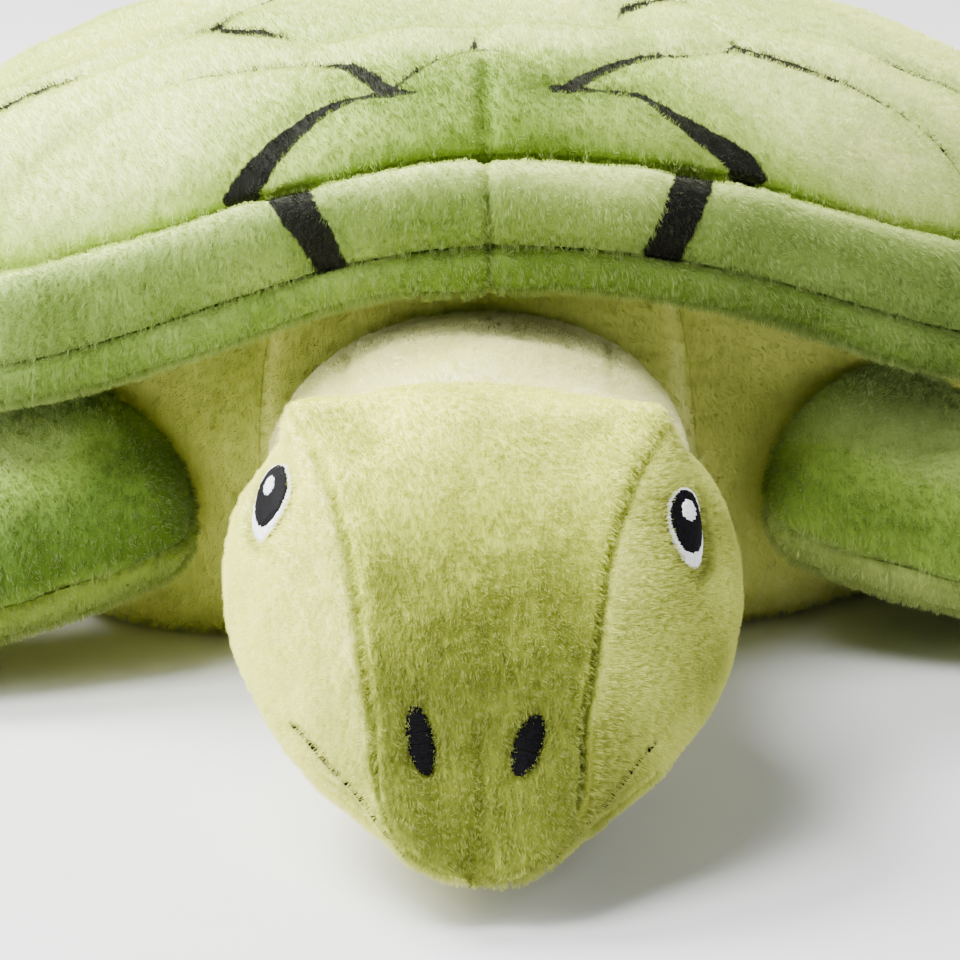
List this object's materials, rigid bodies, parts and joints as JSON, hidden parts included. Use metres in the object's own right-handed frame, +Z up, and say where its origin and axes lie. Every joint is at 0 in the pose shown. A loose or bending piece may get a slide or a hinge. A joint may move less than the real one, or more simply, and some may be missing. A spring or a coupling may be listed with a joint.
{
  "type": "plush turtle",
  "caption": "Soft plush sea turtle lying on its belly, with a domed shell, a rolled rim, four stuffed flippers, a short tail and an embroidered face.",
  "frame": {"origin": "on the belly's flat resting face, on the toy's middle plane, about half way along it", "axes": "+Z up, -Y towards the nose, +X towards the flippers named right, which are on the viewer's right from the front"},
  "size_m": [0.4158, 0.439, 0.129],
  "materials": {
    "shell_pile": "short-pile plush",
    "rim_pile": "short-pile plush",
    "body_pile": "short-pile plush",
    "head_pile": "short-pile plush",
    "flipper_pile": "short-pile plush",
    "flipper_under_pile": "short-pile plush",
    "black_thread": "satin embroidery thread",
    "white_thread": "satin embroidery thread",
    "fibre_fill": "loose polyester fibre"
  },
  "bodies": {
    "torso": {"shell_stuffing": "fibre_fill", "body_stuffing": "fibre_fill", "shell_top_panel": "shell_pile", "rim_top_right": "rim_pile", "rim_top_left": "rim_pile", "rim_under_right": "rim_pile", "rim_under_left": "rim_pile", "body_front_panel": "body_pile", "body_side_right": "body_pile", "body_side_left": "body_pile", "body_back_panel": "body_pile", "belly_panel": "body_pile", "tail_stuffing": "fibre_fill", "tail_upper": "flipper_pile", "tail_lower": "flipper_under_pile"},
    "neck": {"neck_stuffing": "fibre_fill", "neck_top_panel": "head_pile", "neck_throat_panel": "head_pile"},
    "head": {"head_stuffing": "fibre_fill", "crown_panel": "head_pile", "cheek_right": "head_pile", "cheek_left": "head_pile", "jaw_panel": "head_pile", "eye_white_right": "white_thread", "eye_white_left": "white_thread", "eye_pupil_right": "black_thread", "eye_pupil_left": "black_thread", "eye_highlight_right": "white_thread", "eye_highlight_left": "white_thread", "nostril_right": "black_thread", "nostril_left": "black_thread", "mouth_stitch_right": "black_thread", "mouth_stitch_left": "black_thread"},
    "front_flipper_right": {"front_flipper_right_stuffing": "fibre_fill", "front_flipper_right_upper": "flipper_pile", "front_flipper_right_lower": "flipper_under_pile"},
    "front_flipper_left": {"front_flipper_left_stuffing": "fibre_fill", "front_flipper_left_upper": "flipper_pile", "front_flipper_left_lower": "flipper_under_pile"},
    "rear_flipper_right": {"rear_flipper_right_stuffing": "fibre_fill", "rear_flipper_right_upper": "flipper_pile", "rear_flipper_right_lower": "flipper_under_pile"},
    "rear_flipper_left": {"rear_flipper_left_stuffing": "fibre_fill", "rear_flipper_left_upper": "flipper_pile", "rear_flipper_left_lower": "flipper_under_pile"}
  },
  "joints": [
    {"name": "neck_turn", "type": "hinge", "parent": "torso", "child": "neck", "pos_m": [0, -0.076, 0.047], "axis": [0, 0, 1], "range_deg": [-18, 18], "stiffness_Nm_per_rad": 1.5},
    {"name": "head_nod", "type": "hinge", "parent": "neck", "child": "head", "pos_m": [0, -0.15, 0.048], "axis": [1, 0, 0], "range_deg": [-12, 12], "stiffness_Nm_per_rad": 1.5},
    {"name": "front_flipper_right_flap", "type": "hinge", "parent": "torso", "child": "front_flipper_right", "pos_m": [0.083, -0.046, 0.0346], "axis": [-0.4006, -0.8997, -0.1736], "range_deg": [-13, 5], "stiffness_Nm_per_rad": 0.6},
    {"name": "front_flipper_left_flap", "type": "hinge", "parent": "torso", "child": "front_flipper_left", "pos_m": [-0.083, -0.046, 0.0346], "axis": [-0.4006, 0.8997, 0.1736], "range_deg": [-13, 5], "stiffness_Nm_per_rad": 0.6},
    {"name": "rear_flipper_right_flap", "type": "hinge", "parent": "torso", "child": "rear_flipper_right", "pos_m": [0.074, 0.124, 0.0216], "axis": [0.6157, -0.788, 0], "range_deg": [-12, 8], "stiffness_Nm_per_rad": 0.4},
    {"name": "rear_flipper_left_flap", "type": "hinge", "parent": "torso", "child": "rear_flipper_left", "pos_m": [-0.074, 0.124, 0.0216], "axis": [0.6157, 0.788, 0], "range_deg": [-12, 8], "stiffness_Nm_per_rad": 0.4}
  ]
}
